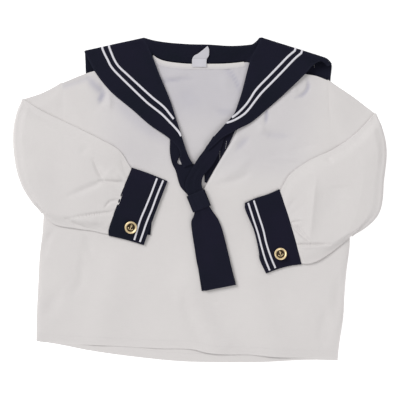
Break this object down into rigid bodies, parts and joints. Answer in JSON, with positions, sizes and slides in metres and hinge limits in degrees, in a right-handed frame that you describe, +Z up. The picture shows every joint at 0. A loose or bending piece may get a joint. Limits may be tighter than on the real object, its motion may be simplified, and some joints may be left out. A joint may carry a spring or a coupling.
{
  "type": "sailor jumper",
  "caption": "Child's white sailor jumper laid flat, with folded sleeves, a striped navy collar and cuffs, and a tie in a keeper loop.",
  "frame": {"origin": "on the surface that the garment lies on, under the middle of its outline", "axes": "+X to the wearer's left, +Y towards the neck, +Z up from the surface"},
  "size_m": [0.4309, 0.3743, 0.0129],
  "materials": {
    "white_cotton": "plain-weave white cotton, matt, lightly creased",
    "navy_cotton": "fine navy twill, matt",
    "white_braid": "narrow ribbed white braid with a slight sheen",
    "gilt_metal": "pressed gilt brass, dark in the recess",
    "label_tape": "smooth white woven tape, blank"
  },
  "bodies": {
    "root": {"back_panel": "white_cotton", "front_panel": "white_cotton", "neck_binding": "white_cotton", "right_sleeve": "white_cotton", "left_sleeve": "white_cotton", "collar": "navy_cotton", "left_under_collar": "navy_cotton", "right_cuff": "navy_cotton", "left_cuff": "navy_cotton", "right_tie_end": "navy_cotton", "left_tie_end": "navy_cotton", "tie_keeper": "navy_cotton", "right_collar_braid_inner": "white_braid", "right_collar_braid_outer": "white_braid", "right_cuff_braid_inner": "white_braid", "right_cuff_braid_outer": "white_braid", "left_collar_braid_inner": "white_braid", "left_collar_braid_outer": "white_braid", "left_cuff_braid_inner": "white_braid", "left_cuff_braid_outer": "white_braid", "right_cuff_button": "gilt_metal", "left_cuff_button": "gilt_metal", "neck_label": "label_tape"}
  },
  "joints": []
}
